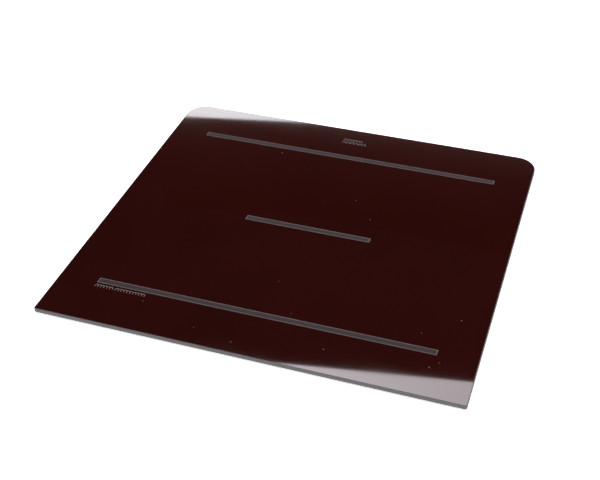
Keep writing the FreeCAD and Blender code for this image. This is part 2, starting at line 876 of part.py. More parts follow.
def chip_places():
    """Centres along X of the two transistors and the rectifier on the heat sink wall."""
    return [sink_x0 + share * sink_l for share in chip_shares]


def heat_sink():
    x1 = sink_x0 + sink_l
    top = floor_z1 + sink_h
    base = box(sink_x0, x1, sink_y0, sink_y1, floor_z1, floor_z1 + sink_base)
    wall = box(sink_x0, x1, sink_y1 - sink_wall, sink_y1, floor_z1, top)
    step = (sink_w - sink_wall - fin_t) / fin_count
    fins = [box(sink_x0, x1, sink_y0 + k * step, sink_y0 + k * step + fin_t, floor_z1, top)
            for k in range(fin_count)]
    holes = [rod_y(x, sink_y1 - sink_wall, sink_y1, chip_screw_z(), m3_r + nest_gap)
             for x in chip_places()]
    return fuse([base, wall] + fins).cut(holes)


def chip_top():
    return floor_z1 + sink_h


def chip_screw_z():
    return chip_top() - chip_screw_drop


def chip(x, pins):
    """Flat power package against the heat sink wall, its pins standing on the board."""
    y0 = sink_y1
    y1 = y0 + chip_body_t
    z0 = chip_top() - chip_body_h
    body = box(x - chip_body_w / 2, x + chip_body_w / 2, y0, y1, z0, chip_top())
    body = body.cut(rod_y(x, y0, y1, chip_screw_z(), m3_r + nest_gap))
    step = chip_body_w / pins
    legs = []
    for k in range(pins):
        leg_x = x + (k - (pins - 1) / 2) * step
        legs.append(box(leg_x - pin_w / 2, leg_x + pin_w / 2, y0 + chip_body_t / 2,
                        y0 + chip_body_t / 2 + pin_t, board_z1, z0))
    return fuse([body] + legs)


def power_transistors():
    return group([chip(x, 3) for x in chip_places()[:2]])


def bridge_rectifier():
    return chip(chip_places()[2], 4)


def chip_screws():
    one = screw(m3_r, chip_body_t + sink_wall, m3_head_r, m3_head_h)
    return group([placed(one, x, sink_y1 + chip_body_t, chip_screw_z(), V(0, 1, 0))
                  for x in chip_places()])


def film_capacitors():
    length, width, height = film_cap
    cans = []
    for k in range(film_cap_count):
        x0 = board_x0 + film_cap_margin + k * film_cap_pitch
        can = box(x0, x0 + length, film_cap_y, film_cap_y + width, board_z1, board_z1 + height)
        upright = [e for e in can.Edges if e.BoundBox.ZLength > height / 2]
        cans.append(can.makeFillet(film_cap_round, upright))
    return group(cans)


def choke_centre():
    return V(board_x0 + choke_margin, choke_y, board_z1 + choke_tube + choke_wire)


def choke_core():
    c = choke_centre()
    half = choke_tube - nest_gap
    core = rod(c.x, c.y, c.z - half, c.z + half, choke_r + half)
    return core.cut(rod(c.x, c.y, c.z - half, c.z + half, choke_r - half))


def choke_winding():
    c = choke_centre()
    outer = choke_tube + choke_wire
    loop = box(c.x + choke_r - outer, c.x + choke_r + outer, c.y - choke_wire / 2,
               c.y + choke_wire / 2, c.z - outer, c.z + outer)
    loop = loop.cut(box(c.x + choke_r - choke_tube, c.x + choke_r + choke_tube, c.y - choke_wire,
                        c.y + choke_wire, c.z - choke_tube, c.z + choke_tube))
    return group([turned(loop, 360 * k / choke_turns, c) for k in range(choke_turns)])


# ---------------------------------------------------------------- mains terminal
def lead_holes():
    return [rod_y(pole_x(k), term_y0, term_y0 + term_wall, pole_z, mains_lead_r + hole_gap)
            for k in range(mains_leads)]


def pole_x(k):
    return term_mid_x - block_l / 2 + pole_pitch * (k + 0.5)


def hinge_ear(x0):
    eye = rod_x(x0, x0 + ear_w, hinge_y, hinge_z, knuckle_r)
    stem = box(x0, x0 + ear_w, hinge_y - knuckle_r, hinge_y + knuckle_r, hinge_z, floor_z1 + ear_h)
    return eye.fuse(stem).cut(rod_x(x0, x0 + ear_w, hinge_y, hinge_z, hinge_pin_r + nest_gap))


def terminal_housing():
    outer = box(term_x0, term_x1, term_y0, tray_in_y, floor_z1, term_z1)
    inner = terminal_window(floor_z1, term_z1 - term_wall)
    cuts = [inner, rod_y(gland_x, tray_in_y - term_wall, tray_in_y, fitting_z, gland_thread_r + nest_gap)]
    shell = outer.cut(cuts + lead_holes())
    ears = [hinge_ear(term_x0 + term_wall), hinge_ear(term_x1 - term_wall - ear_w)]
    strap_z1 = fitting_z - cord_r
    lugs = []
    for x in (gland_x - grip_screw_x, gland_x + grip_screw_x):
        lug = rod(x, grip_y, strap_z1, term_z1 - term_wall, grip_lug_r)
        lugs.append(lug.cut(rod(x, grip_y, strap_z1, strap_z1 + grip_lug_bore, m3_r + nest_gap)))
    return fuse([shell] + ears + lugs)


def terminal_block():
    x0 = term_mid_x - block_l / 2
    block = box(x0, x0 + block_l, block_y0, block_y0 + block_d, block_z0, term_z1 - term_wall)
    cuts = []
    for k in range(block_poles):
        cuts.append(rod_y(pole_x(k), block_y0, block_y0 + block_d, pole_z, sleeve_r + nest_gap))
        cuts.append(rod(pole_x(k), block_y0 + block_d / 2, block_z0, pole_z, block_well_r))
    return block.cut(cuts)


def terminal_sleeves():
    y0 = block_y0 + sleeve_inset
    y1 = block_y0 + block_d - sleeve_inset
    sleeves = []
    for k in range(block_poles):
        well = rod(pole_x(k), block_y0 + block_d / 2, block_z0, pole_z, m3_r + nest_gap)
        bore = rod_y(pole_x(k), y0, y1, pole_z, sleeve_bore_r)
        sleeves.append(rod_y(pole_x(k), y0, y1, pole_z, sleeve_r).cut([bore, well]))
    return group(sleeves)


def terminal_screws():
    z0 = block_z0 + block_screw_inset
    return group([rod(pole_x(k), block_y0 + block_d / 2, z0, pole_z - sleeve_bore_r, m3_r)
                  for k in range(block_poles)])


def terminal_cover():
    x0 = term_x0 + term_wall + ear_w + clear_gap
    x1 = term_x1 - term_wall - ear_w - clear_gap
    y1 = tray_in_y - term_wall + cover_margin / 2
    knuckle = rod_x(x0, x1, hinge_y, hinge_z, knuckle_r)
    neck = box(x0, x1, hinge_y, hinge_y + 2 * knuckle_r, hinge_z - cover_t / 2, floor_z0)
    plate = box(term_x0 - cover_margin + term_wall, term_x1 + cover_margin - term_wall,
                hinge_y + knuckle_r + clear_gap, y1, hinge_z - cover_t / 2, floor_z0)
    rib_y1 = y1 - cover_rib_inset
    rib = box(term_mid_x - cover_rib_w / 2, term_mid_x + cover_rib_w / 2, rib_y1 - cover_rib_t, rib_y1,
              hinge_z - cover_t / 2 - cover_rib_h, floor_z0)
    body = fuse([knuckle, neck, plate, rib])
    return body.cut(rod_x(x0, x1, hinge_y, hinge_z, hinge_pin_r + run_gap))


def cover_hinge_pin():
    return rod_x(term_x0 + term_wall, term_x1 - term_wall, hinge_y, hinge_z, hinge_pin_r)


def cord_grip():
    z1 = fitting_z - cord_r
    strap = box(gland_x - grip_l / 2, gland_x + grip_l / 2, grip_y - grip_w / 2, grip_y + grip_w / 2,
                z1 - grip_t, z1)
    groove = rod_y(gland_x, grip_y - grip_w, grip_y + grip_w, fitting_z, cord_r + grip_relief)
    holes = [rod(gland_x + sx * grip_screw_x, grip_y, z1 - grip_t, z1, m3_r + nest_gap) for sx in (-1, 1)]
    return strap.cut([groove] + holes)


def cord_grip_screws():
    one = screw(m3_r, grip_t + grip_screw_in, m3_head_r, m3_head_h)
    z = fitting_z - cord_r - grip_t
    return group([placed(one, gland_x + sx * grip_screw_x, grip_y, z, V(0, 0, -1)) for sx in (-1, 1)])


def mains_wires():
    """Leads from the terminal sleeves round to the board, each turning in its own row."""
    foot_x = board_x1 - mains_foot_inset
    start_y = block_y0 + sleeve_inset / 2
    wires = []
    for k in range(mains_leads):
        row_y = term_y0 - mains_row_gap - mains_row_pitch * k
        points = [V(pole_x(k), start_y, pole_z), V(pole_x(k), row_y, pole_z),
                  V(foot_x, row_y, pole_z), V(foot_x, row_y, board_z1)]
        wires.append(lead(points, mains_lead_r, mains_bend_r))
    return group(wires)


# ---------------------------------------------------------------- rear fittings
def cable_gland():
    hex_y1 = tray_hd + gland_hex_t
    nose_y1 = hex_y1 + gland_nose_l
    body = along_y(hexagon(gland_hex, 0, gland_hex_t), gland_x, tray_hd, fitting_z)
    tail = rod_y(gland_x, tray_hd - gland_tail, tray_hd, fitting_z, gland_thread_r)
    nose = rod_y(gland_x, hex_y1, nose_y1, fitting_z, gland_nose_r)
    seat_r = cord_r + gland_seal_wall
    bore = rod_y(gland_x, tray_hd - gland_tail, nose_y1, fitting_z, cord_r + gland_relief)
    seat = rod_y(gland_x, nose_y1 - gland_seal_l, nose_y1, fitting_z, seat_r + nest_gap)
    return fuse([body, tail, nose]).cut([bore, seat])


def gland_seal():
    y1 = tray_hd + gland_hex_t + gland_nose_l
    seal = rod_y(gland_x, y1 - gland_seal_l, y1, fitting_z, cord_r + gland_seal_wall)
    return seal.cut(rod_y(gland_x, y1 - gland_seal_l, y1, fitting_z, cord_r))


def gland_locknut():
    y1 = tray_in_y - term_wall
    nut = along_y(hexagon(gland_nut_hex, 0, gland_nut_t), gland_x, y1 - gland_nut_t, fitting_z)
    return nut.cut(rod_y(gland_x, y1 - gland_nut_t, y1, fitting_z, gland_thread_r + nest_gap))


def gland_cap():
    """Domed outer nut with grip ribs; its end wall guides the cord."""
    y0 = tray_hd + gland_hex_t + 2 * clear_gap
    nose_y1 = tray_hd + gland_hex_t + gland_nose_l
    y1 = nose_y1 + gland_cap_end
    cap = rod_y(gland_x, y0, y1, fitting_z, gland_cap_r)
    cap = cap.makeFillet(gland_cap_round, [e for e in cap.Edges if e.BoundBox.YMin > y1 - tiny])
    ribs = []
    for k in range(gland_ribs):
        p = polar(V(gland_x, fitting_z, 0), gland_cap_r, 360 * k / gland_ribs)
        ribs.append(rod_y(p.x, y0, y1 - gland_rib_end, p.y, gland_rib_r))
    hollow = rod_y(gland_x, y0, nose_y1, fitting_z, gland_nose_r + nest_gap)
    return fuse([cap] + ribs).cut([hollow, rod_y(gland_x, nose_y1, y1, fitting_z, cord_r)])


def socket_levels():
    y1 = tray_hd + socket_out
    cavity_z0 = board_z1 + socket_wall
    cavity_z1 = board_z1 + socket_h - socket_wall
    return y1, cavity_z0, cavity_z1


def control_socket():
    y1, cavity_z0, cavity_z1 = socket_levels()
    half = socket_w / 2
    body = box(socket_x - half, socket_x + half, tray_in_y - socket_in, y1, board_z1, board_z1 + socket_h)
    long_edges = [e for e in body.Edges if e.BoundBox.YLength > socket_out]
    body = body.makeFillet(socket_round, long_edges)
    inner = half - 2 * socket_wall
    cavity = box(socket_x - inner, socket_x + inner, y1 - socket_cavity_l, y1, cavity_z0, cavity_z1)
    key = box(socket_x - socket_wall, socket_x + socket_wall, y1 - socket_cavity_l, y1,
              cavity_z1, cavity_z1 + socket_key_h)
    return body.cut([cavity, key])


def socket_contacts():
    y1, cavity_z0, cavity_z1 = socket_levels()
    strips = []
    for k in range(contact_count):
        x = socket_x + (k - (contact_count - 1) / 2) * contact_pitch
        strips.append(box(x - contact_w / 2, x + contact_w / 2, y1 - socket_cavity_l,
                          y1 - contact_inset, cavity_z0, cavity_z0 + contact_t))
    return group(strips)


def earth_stud():
    head = rod_y(earth_x, tray_in_y - earth_head_t, tray_in_y, fitting_z, earth_head_r)
    shank = rod_y(earth_x, tray_in_y, tray_hd + earth_l, fitting_z, m4_r)
    collar = rod_y(earth_x, tray_hd, tray_hd + earth_collar_t, fitting_z, earth_collar_r)
    return fuse([head, shank, collar])


# ---------------------------------------------------------------- worktop clamps
def clamp_bracket():
    foot_x1 = clamp_x + clamp_head_r + bracket_nose
    half = bracket_w / 2
    foot = box(tray_hw, foot_x1, -half, half, bracket_z0, bracket_z1)
    foot = foot.makeFillet(bracket_round, [e for e in foot.Edges if e.BoundBox.ZLength > bracket_t / 2
                                           and e.BoundBox.XMin > foot_x1 - tiny])
    leg = box(tray_hw, tray_hw + bracket_leg_t, -half, half, bracket_z0, bracket_z0 + bracket_leg_h)
    bracket = fuse([foot, leg])
    return bracket.cut(rod(clamp_x, 0, bracket_z0, bracket_z1, clamp_screw_r + hole_gap))


def clamp_screw():
    head_z0 = bracket_z0 - clamp_head_h
    head = rod(clamp_x, 0, head_z0, bracket_z0, clamp_head_r)
    head = head.makeFillet(clamp_head_round, [e for e in head.Edges if e.BoundBox.ZMax < head_z0 + tiny])
    key = placed(hexagon(clamp_key_flats, 0, clamp_key_depth), clamp_x, 0, head_z0)
    shank = rod(clamp_x, 0, bracket_z0, frame_z0 + 2 * frame_sheet, clamp_screw_r)
    shoulder = rod(clamp_x, 0, bracket_z1, bracket_z1 + clamp_shoulder_h, nut_collar_r)
    return fuse([head.cut(key), shank, shoulder])


def clamp_nut():
    body = placed(hexagon(nut_flats, 0, nut_h), clamp_x, 0, nut_z0)
    rim_z0 = dog_top_z + nut_rim_gap
    collar = rod(clamp_x, 0, dog_z0, rim_z0, nut_collar_r)
    rim = rod(clamp_x, 0, rim_z0, rim_z0 + nut_rim_h, nut_rim_r)
    bore = rod(clamp_x, 0, nut_z0, rim_z0 + nut_rim_h, clamp_screw_r + run_gap)
    return fuse([body, collar, rim]).cut(bore)


def clamp_dog():
    """Flat dog with a raised biting tip, stowed along +Y."""
    half = dog_w / 2
    arm = fuse([rod(clamp_x, 0, dog_z0, dog_top_z, half),
                box(clamp_x - half, clamp_x + half, 0, dog_reach, dog_z0, dog_top_z)])
    tip = box(clamp_x - half, clamp_x + half, dog_reach - dog_tip_l, dog_reach, dog_z0,
              dog_top_z + dog_tip_h)
    dog = fuse([arm, tip])
    return dog.cut(rod(clamp_x, 0, dog_z0, dog_top_z, nut_collar_r + run_gap))


# ---------------------------------------------------------------- writing the pieces
def all_nodes():
    nodes = {
        "glass_ceramic_plate": glass_plate(),
        "zone_bar_outlines": bar_outlines(),
        "zone_bar_fields": bar_fields(),
        "symbol_prints": marks(),
        "rim_seal": rim_seal(),
        "adhesive_bead": adhesive_bead(),
        "support_frame": support_frame(),
        "frame_screws": frame_screws(),
        "coil_support_plate": coil_support_plate(),
        "bottom_tray": bottom_tray(),
        "mica_sheet": mica_sheet(),
        "coil_winding": coil_winding(),
        "coil_former": coil_former(),
        "ferrite_bars": ferrite_bars(),
        "coil_carrier": coil_carrier(),
        "guide_posts": guide_posts(),
        "coil_springs": coil_springs(),
        "lead_posts": lead_posts(),
        "coil_leads": coil_leads(),
        "sensor_holders": sensor_holders(),
        "blower_housing": blower_housing(),
        "blower_lid": blower_lid(),
        "blower_screws": blower_screws(),
        "blower_motor": blower_motor(),
        "blower_impeller": blower_impeller(),
        "power_board": power_board(),
        "board_fixings": group([board_spacers(), board_screws()]),
        "heat_sink": heat_sink(),
        "power_transistors": power_transistors(),
        "bridge_rectifier": bridge_rectifier(),
        "transistor_screws": chip_screws(),
        "film_capacitors": film_capacitors(),
        "choke_core": choke_core(),
        "choke_winding": choke_winding(),
        "terminal_housing": terminal_housing(),
        "terminal_block": terminal_block(),
        "terminal_sleeves": group([terminal_sleeves(), terminal_screws()]),
        "terminal_cover": terminal_cover(),
        "cover_hinge_pin": cover_hinge_pin(),
        "cord_grip": group([cord_grip(), cord_grip_screws()]),
        "mains_wires": mains_wires(),
        "cable_gland": group([cable_gland(), gland_locknut()]),
        "gland_seal": gland_seal(),
        "gland_cap": gland_cap(),
        "control_socket": control_socket(),
        "socket_contacts": socket_contacts(),
        "earth_stud": earth_stud(),
        "clamp_brackets": group([clamp_bracket(), mirrored(clamp_bracket())]),
    }
    for k, (x, y) in enumerate(sensor_places):
        nodes["sensor_cap_%d" % (k + 1)] = sensor_cap(x, y)
        nodes["sensor_spring_%d" % (k + 1)] = sensor_spring(x, y)
    for side, place in (("right", lambda s: s), ("left", mirrored)):
        nodes["clamp_screw_" + side] = place(clamp_screw())
        nodes["clamp_nut_" + side] = place(clamp_nut())
        nodes["clamp_dog_" + side] = place(clamp_dog())
    return nodes


def write_nodes():
    os.makedirs("parts", exist_ok=True)
    for name, shape in all_nodes().items():
        shape.exportStep(os.path.join("parts", name + ".step"))


write_nodes()
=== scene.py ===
import json
import math

import bmesh
import bpy
from mathutils import Matrix, Vector

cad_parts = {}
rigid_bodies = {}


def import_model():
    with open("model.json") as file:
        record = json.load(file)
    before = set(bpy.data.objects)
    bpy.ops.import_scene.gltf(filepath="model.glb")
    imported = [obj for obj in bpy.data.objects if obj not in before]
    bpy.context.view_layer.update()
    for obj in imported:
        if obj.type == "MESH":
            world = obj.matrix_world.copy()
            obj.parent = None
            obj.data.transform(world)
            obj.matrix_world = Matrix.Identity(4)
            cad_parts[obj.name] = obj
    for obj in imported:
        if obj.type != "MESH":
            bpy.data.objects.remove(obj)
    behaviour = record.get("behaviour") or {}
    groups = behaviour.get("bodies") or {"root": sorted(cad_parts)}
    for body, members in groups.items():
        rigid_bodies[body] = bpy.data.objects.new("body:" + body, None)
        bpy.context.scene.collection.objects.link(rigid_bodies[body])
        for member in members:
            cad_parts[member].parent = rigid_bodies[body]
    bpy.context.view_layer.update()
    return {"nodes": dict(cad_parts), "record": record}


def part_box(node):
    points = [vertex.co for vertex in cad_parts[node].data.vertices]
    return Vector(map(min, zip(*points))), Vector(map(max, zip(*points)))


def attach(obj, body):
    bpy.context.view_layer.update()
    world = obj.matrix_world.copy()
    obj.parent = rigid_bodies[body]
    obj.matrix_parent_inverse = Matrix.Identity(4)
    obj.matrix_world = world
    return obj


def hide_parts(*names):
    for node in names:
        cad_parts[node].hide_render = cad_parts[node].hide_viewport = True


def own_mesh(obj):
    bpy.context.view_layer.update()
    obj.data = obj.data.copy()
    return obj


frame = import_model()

MM = 0.001
WHITE = (1.0, 1.0, 1.0, 1.0)
NOISE_LOW, NOISE_HIGH = 0.3, 0.7     # nearly all of a noise pattern lies between these
PALE_AIR, DARK_AIR = 0.93, 0.03      # strength of the surroundings near the horizon and overhead
HAZE_LOW, HAZE_HIGH = 0.15, 0.21     # sines of the elevations between which the one becomes the other
BOARD_PAST_GLASS = 150 * MM
BOARD_UNDER_GLASS = 12 * MM
BOARD_THICKNESS = 3 * MM
FLOOR_Z = -1.4
FLOOR_HALF = 30.0

nodes = frame["nodes"]
slots = {part["node"]: part["material_slot"] for part in frame["record"]["subparts"]}
glass_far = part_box("glass_ceramic_plate")[1]     # the corner furthest right, back and up


# ---------------------------------------------------------------- node graphs
class Graph:
    """Short ways of adding nodes to a node tree."""

    def __init__(self, tree):
        self.tree = tree

    def add(self, kind, **values):
        """New node with some of its settings."""
        node = self.tree.nodes.new(kind)
        for key, value in values.items():
            setattr(node, key, value)
        return node

    def plug(self, node, socket, value):
        """Links an output to a socket, or sets the socket to a number or colour."""
        target = node.inputs[socket]
        if isinstance(value, bpy.types.NodeSocket):
            self.tree.links.new(value, target)
        else:
            target.default_value = value

    def split(self, vector):
        """X, Y and Z of a vector or of a colour."""
        node = self.add("ShaderNodeSeparateXYZ")
        self.plug(node, "Vector", vector)
        return node.outputs

    def math(self, operation, a, b=0.0):
        """Result of a Math node on numbers or outputs."""
        node = self.add("ShaderNodeMath", operation=operation)
        self.plug(node, 0, a)
        self.plug(node, 1, b)
        return node.outputs[0]

    def fit(self, value, low, high, to_low=0.0, to_high=1.0):
        """Maps low..high of a pattern to another range, held at its ends."""
        node = self.add("ShaderNodeMapRange")
        for socket, number in zip(("Value", "From Min", "From Max", "To Min", "To Max"),
                                  (value, low, high, to_low, to_high)):
            self.plug(node, socket, number)
        return node.outputs["Result"]

    def mix(self, share, a, b):
        """Blend of two colours: a at share 0, b at share 1."""
        node = self.add("ShaderNodeMix", data_type="RGBA")
        self.plug(node, 0, share)
        for socket, value in ((6, a), (7, b)):
            self.plug(node, socket, value if isinstance(value, bpy.types.NodeSocket) else (*value, 1.0))
        return node.outputs[2]


class Surface(Graph):
    """A Principled material whose inputs are driven by patterns in the object's own coordinates."""

    def __init__(self, name, colour, roughness, metallic=0.0, ior=1.5):
        self.material = bpy.data.materials.new(name)
        self.material.use_nodes = True
        super().__init__(self.material.node_tree)
        self.shader = self.tree.nodes["Principled BSDF"]
        self.coords = self.add("ShaderNodeTexCoord").outputs["Object"]
        self.colour = colour
        self.set("Base Color", (*colour, 1.0))
        self.set("Roughness", roughness)
        self.set("Metallic", metallic)
        self.set("IOR", ior)

    def set(self, socket, value):
        """Sets or drives an input of the shader."""
        self.plug(self.shader, socket, value)

    def stretched(self, scale):
        """The object's coordinates times scale, so a small factor draws the pattern out along that axis."""
        if scale == (1, 1, 1):
            return self.coords
        node = self.add("ShaderNodeMapping")
        self.plug(node, "Vector", self.coords)
        self.plug(node, "Scale", scale)
        return node.outputs["Vector"]

    def noise(self, size, detail=3.0, stretch=(1, 1, 1), rough=0.5):
        """Noise whose blotches are about size metres across."""
        node = self.add("ShaderNodeTexNoise")
        self.plug(node, "Vector", self.stretched(stretch))
        self.plug(node, "Scale", 1.0 / size)
        self.plug(node, "Detail", detail)
        self.plug(node, "Roughness", rough)
        return node.outputs["Fac"]

    def mottle(self, size, detail=3.0, low=0.0, high=1.0, stretch=(1, 1, 1), rough=0.5):
        """Noise spread over low..high."""
        return self.fit(self.noise(size, detail, stretch, rough), NOISE_LOW, NOISE_HIGH, low, high)

    def cells(self, size, output="Color", feature="F1"):
        """Voronoi cells about size metres across."""
        node = self.add("ShaderNodeTexVoronoi", feature=feature)
        self.plug(node, "Vector", self.coords)
        self.plug(node, "Scale", 1.0 / size)
        return node.outputs[output]

    def facing_up(self):
        """1 on faces that look up, 0 on upright ones, -1 on those that look down."""
        return self.split(self.add("ShaderNodeNewGeometry").outputs["True Normal"])["Z"]

    def bump(self, height, depth, strength=1.0):
        """Adds relief of about depth metres to the relief already there."""
        node = self.add("ShaderNodeBump")
        self.plug(node, "Strength", strength)
        self.plug(node, "Distance", depth)
        self.plug(node, "Height", height)
        old = self.shader.inputs["Normal"]
        if old.is_linked:
            self.tree.links.new(old.links[0].from_socket, node.inputs["Normal"])
        self.tree.links.new(node.outputs["Normal"], old)

    def tint(self, share, low, high):
        """Varies the base colour between two factors of itself."""
        a = tuple(c * low for c in self.colour)
        b = tuple(min(c * high, 1.0) for c in self.colour)
        self.set("Base Color", self.mix(share, a, b))


def glass_ceramic():
    """Dark tinted glass-ceramic: polished top with a few dust specks and faint wipe marks, ground grey
    edges."""
    s = Surface("glass_ceramic_maroon", (0.0220, 0.0019, 0.0012), 0.03, ior=1.52)
    polished = s.fit(s.facing_up(), 0.80, 0.97)
    cloud = s.fit(s.noise(0.12, 2.0), 0.35, 0.65)
    tone = s.mix(cloud, (0.0205, 0.0017, 0.0010), (0.0238, 0.0022, 0.0014))
    specks = s.math("MULTIPLY", s.fit(s.cells(0.011, "Distance"), 0.035, 0.055, 1.0, 0.0),
                    s.fit(s.noise(0.045, 1.0), 0.50, 0.60))
    tone = s.mix(s.math("MULTIPLY", specks, 0.30), tone, (0.16, 0.09, 0.075))
    grit = s.noise(0.0006, 2.0)
    edge = s.mix(s.fit(grit, NOISE_LOW, NOISE_HIGH), (0.105, 0.098, 0.106), (0.155, 0.146, 0.154))
    s.set("Base Color", s.mix(polished, edge, tone))
    wipe = s.fit(s.noise(0.030, 4.0, stretch=(0.35, 1.0, 1.0)), 0.35, 0.75, 0.024, 0.038)
    top_roughness = s.math("ADD", wipe, s.math("MULTIPLY", specks, 0.3))
    ground_roughness = 0.62
    s.set("Roughness", s.fit(polished, 0.0, 1.0, ground_roughness, top_roughness))
    s.bump(s.math("MULTIPLY", grit, s.fit(polished, 0.0, 1.0, 1.0, 0.0)), 0.04 * MM, 0.5)
    return s.material


def fired_enamel(name, light, hatch=0.0):
    """Screen-printed enamel with a pin-holed skin. A hatched field is a mesh of fine lines hatch metres
    apart, with the dark glass between them."""
    s = Surface(name, light, 0.62)
    s.set("Specular IOR Level", 0.15)
    gap_darkness = 0.3
    blotch = s.mottle(0.0035, 3.0)
    tone = s.mix(blotch, tuple(0.90 * c for c in light), tuple(1.06 * c for c in light))
    if hatch:
        x, y, _ = s.split(s.coords)
        rows = [s.math("ADD", x, y), s.math("SUBTRACT", x, y)]
        waves = [s.math("SINE", s.math("MULTIPLY", row, 2 * math.pi / hatch)) for row in rows]
        mesh = s.fit(s.math("MAXIMUM", *waves), 0.35, 0.75)
        tone = s.mix(mesh, tuple(gap_darkness * c for c in light), tone)
    s.set("Base Color", tone)
    pin = s.noise(0.00035, 2.0)
    s.set("Roughness", s.fit(pin, NOISE_LOW, NOISE_HIGH, 0.54, 0.70))
    s.bump(pin, 0.01 * MM, 0.4)
    return s.material


def zinc_sheet():
    """Hot-dip galvanised sheet: crystals of differing grey, fine rolling lines and dull rub marks."""
    s = Surface("galvanised_sheet", (0.44, 0.452, 0.468), 0.42, metallic=1.0)
    crystal = s.split(s.cells(0.0045))
    grey = s.math("ADD", s.math("MULTIPLY", crystal["X"], 0.5),
                  s.math("MULTIPLY", s.noise(0.018, 4.0), 0.5))
    s.tint(s.fit(grey, 0.25, 0.75), 0.80, 1.16)
    rub = s.fit(s.noise(0.05, 5.0, rough=0.6), 0.55, 0.72)
    base = s.fit(crystal["Y"], 0.0, 1.0, 0.34, 0.46)
    s.set("Roughness", s.math("ADD", base, s.math("MULTIPLY", rub, 0.14)))
    s.bump(crystal["Z"], 0.008 * MM, 0.25)
    s.bump(s.noise(0.0012, 2.0, stretch=(0.08, 1.0, 1.0)), 0.01 * MM, 0.4)
    return s.material


def mill_aluminium():
    """Rolled aluminium sheet or extrusion with fine lines along X."""
    s = Surface("mill_aluminium", (0.74, 0.745, 0.75), 0.36, metallic=1.0)
    lines = s.noise(0.0007, 3.0, stretch=(0.02, 1.0, 1.0))
    s.tint(s.fit(lines, NOISE_LOW, NOISE_HIGH), 0.88, 1.06)
    s.set("Roughness", s.mottle(0.02, 4.0, low=0.27, high=0.44))
    s.bump(lines, 0.012 * MM, 0.6)
    return s.material


def plated_steel():
    """Zinc-plated turned steel with a faint yellowish passivation and scuffed patches."""
    s = Surface("plated_steel", (0.66, 0.655, 0.63), 0.30, metallic=1.0)
    film = s.fit(s.noise(0.004, 3.0), 0.35, 0.65)
    s.set("Base Color", s.mix(film, (0.70, 0.69, 0.655), (0.56, 0.565, 0.57)))
    s.set("Roughness", s.mottle(0.0012, 4.0, low=0.20, high=0.42))
    s.bump(s.noise(0.0005, 2.0), 0.01 * MM, 0.5)
    return s.material


def spring_wire():
    """Drawn wire with a dull oiled skin."""
    s = Surface("drawn_wire", (0.43, 0.43, 0.44), 0.32, metallic=1.0)
    s.tint(s.mottle(0.0016, 3.0), 0.80, 1.18)
    s.set("Roughness", s.mottle(0.0008, 2.0, low=0.24, high=0.42))
    s.bump(s.noise(0.0002, 2.0), 0.004 * MM, 0.5)
    return s.material


def moulded(name, colour, roughness, grain=0.00045, relief=0.03):
    """Moulded plastic: eroded grain, slow gloss patches from the flow and a slight tone drift."""
    s = Surface(name, colour, roughness)
    s.tint(s.mottle(0.025, 3.0), 0.90, 1.10)
    gloss_patch = 0.08
    s.set("Roughness", s.mottle(0.012, 3.0, low=roughness - gloss_patch, high=roughness + gloss_patch))
    s.bump(s.noise(grain, 3.0, rough=0.6), relief * MM, 0.6)
    return s.material


def foam():
    """Closed-cell strip: small pores in a dull black skin, with painted shade in the pits of the pores."""
    s = Surface("foam_strip", (0.020, 0.020, 0.021), 0.92)
    pores = s.cells(0.0007, "Distance")
    # Painted shade: the base colour is darkened at the centre of each pore and lightened on the skin
    # between pores.
    s.tint(s.fit(pores, 0.1, 0.6), 0.55, 1.7)
    s.bump(pores, 0.12 * MM, 0.8)
    return s.material


def silicone():
    """Cured bead: smooth, slowly wavy and half glossy."""
    s = Surface("silicone_bead", (0.045, 0.045, 0.047), 0.38)
    s.tint(s.mottle(0.006, 3.0), 0.85, 1.2)
    s.set("Roughness", s.mottle(0.003, 2.0, low=0.30, high=0.50))
    s.bump(s.noise(0.004, 2.0), 0.2 * MM, 0.5)
    return s.material


def mica():
    """Pressed mica paper: overlapping silvery flakes."""
    s = Surface("pressed_mica", (0.58, 0.53, 0.44), 0.45)
    flake = s.split(s.cells(0.0022))
    s.set("Base Color", s.mix(flake["X"], (0.50, 0.45, 0.36), (0.68, 0.64, 0.55)))
    s.set("Roughness", s.fit(flake["Y"], 0.0, 1.0, 0.26, 0.60))
    s.bump(flake["Z"], 0.02 * MM, 0.6)
    return s.material


def litz():
    """Bundle of twisted enamelled strands: slanting ridges that follow the winding, with painted shade in
    the grooves between strands and a painted highlight on their crowns.
    """
    s = Surface("litz_strands", (0.72, 0.34, 0.20), 0.34, metallic=1.0)
    bands_around, bands_per_metre = 160.0, 6500.0
    x, y, z = s.split(s.coords)
    around = s.math("MULTIPLY", s.math("ARCTAN2", y, x), bands_around)
    radius = s.math("SQRT", s.math("ADD", s.math("MULTIPLY", x, x), s.math("MULTIPLY", y, y)))
    outward = s.math("MULTIPLY", radius, bands_per_metre)
    height = s.math("MULTIPLY", z, bands_per_metre)
    strands = s.math("SINE", s.math("ADD", s.math("ADD", around, outward), height))
    # Painted shade and painted highlight: the colour is darkened in the grooves between strands and
    # lightened on their crowns; the bump gives the ridges themselves.
    s.tint(s.fit(strands, -1.0, 0.6), 0.45, 1.12)
    s.set("Roughness", s.mottle(0.002, 2.0, low=0.26, high=0.44))
    s.bump(strands, 0.12 * MM, 0.9)
    return s.material


def laminate():
    """Mica bonded into a stiff board: mottled, matt and slightly rough."""
    s = Surface("mica_laminate", (0.60, 0.55, 0.45), 0.62)
    s.tint(s.mottle(0.0025, 4.0, rough=0.6), 0.82, 1.10)
    s.set("Roughness", s.mottle(0.01, 3.0, low=0.52, high=0.72))
    s.bump(s.noise(0.0007, 3.0), 0.03 * MM, 0.6)
    return s.material


def ferrite():
    """Sintered ferrite: dark, slightly metallic, with grains and tiny chips."""
    s = Surface("sintered_ferrite", (0.050, 0.050, 0.055), 0.50, metallic=0.3)
    s.tint(s.mottle(0.0008, 3.0), 0.7, 1.5)
    s.set("Roughness", s.mottle(0.004, 3.0, low=0.38, high=0.62))
    s.bump(s.cells(0.0016, "Distance"), 0.04 * MM, 0.5)
    return s.material


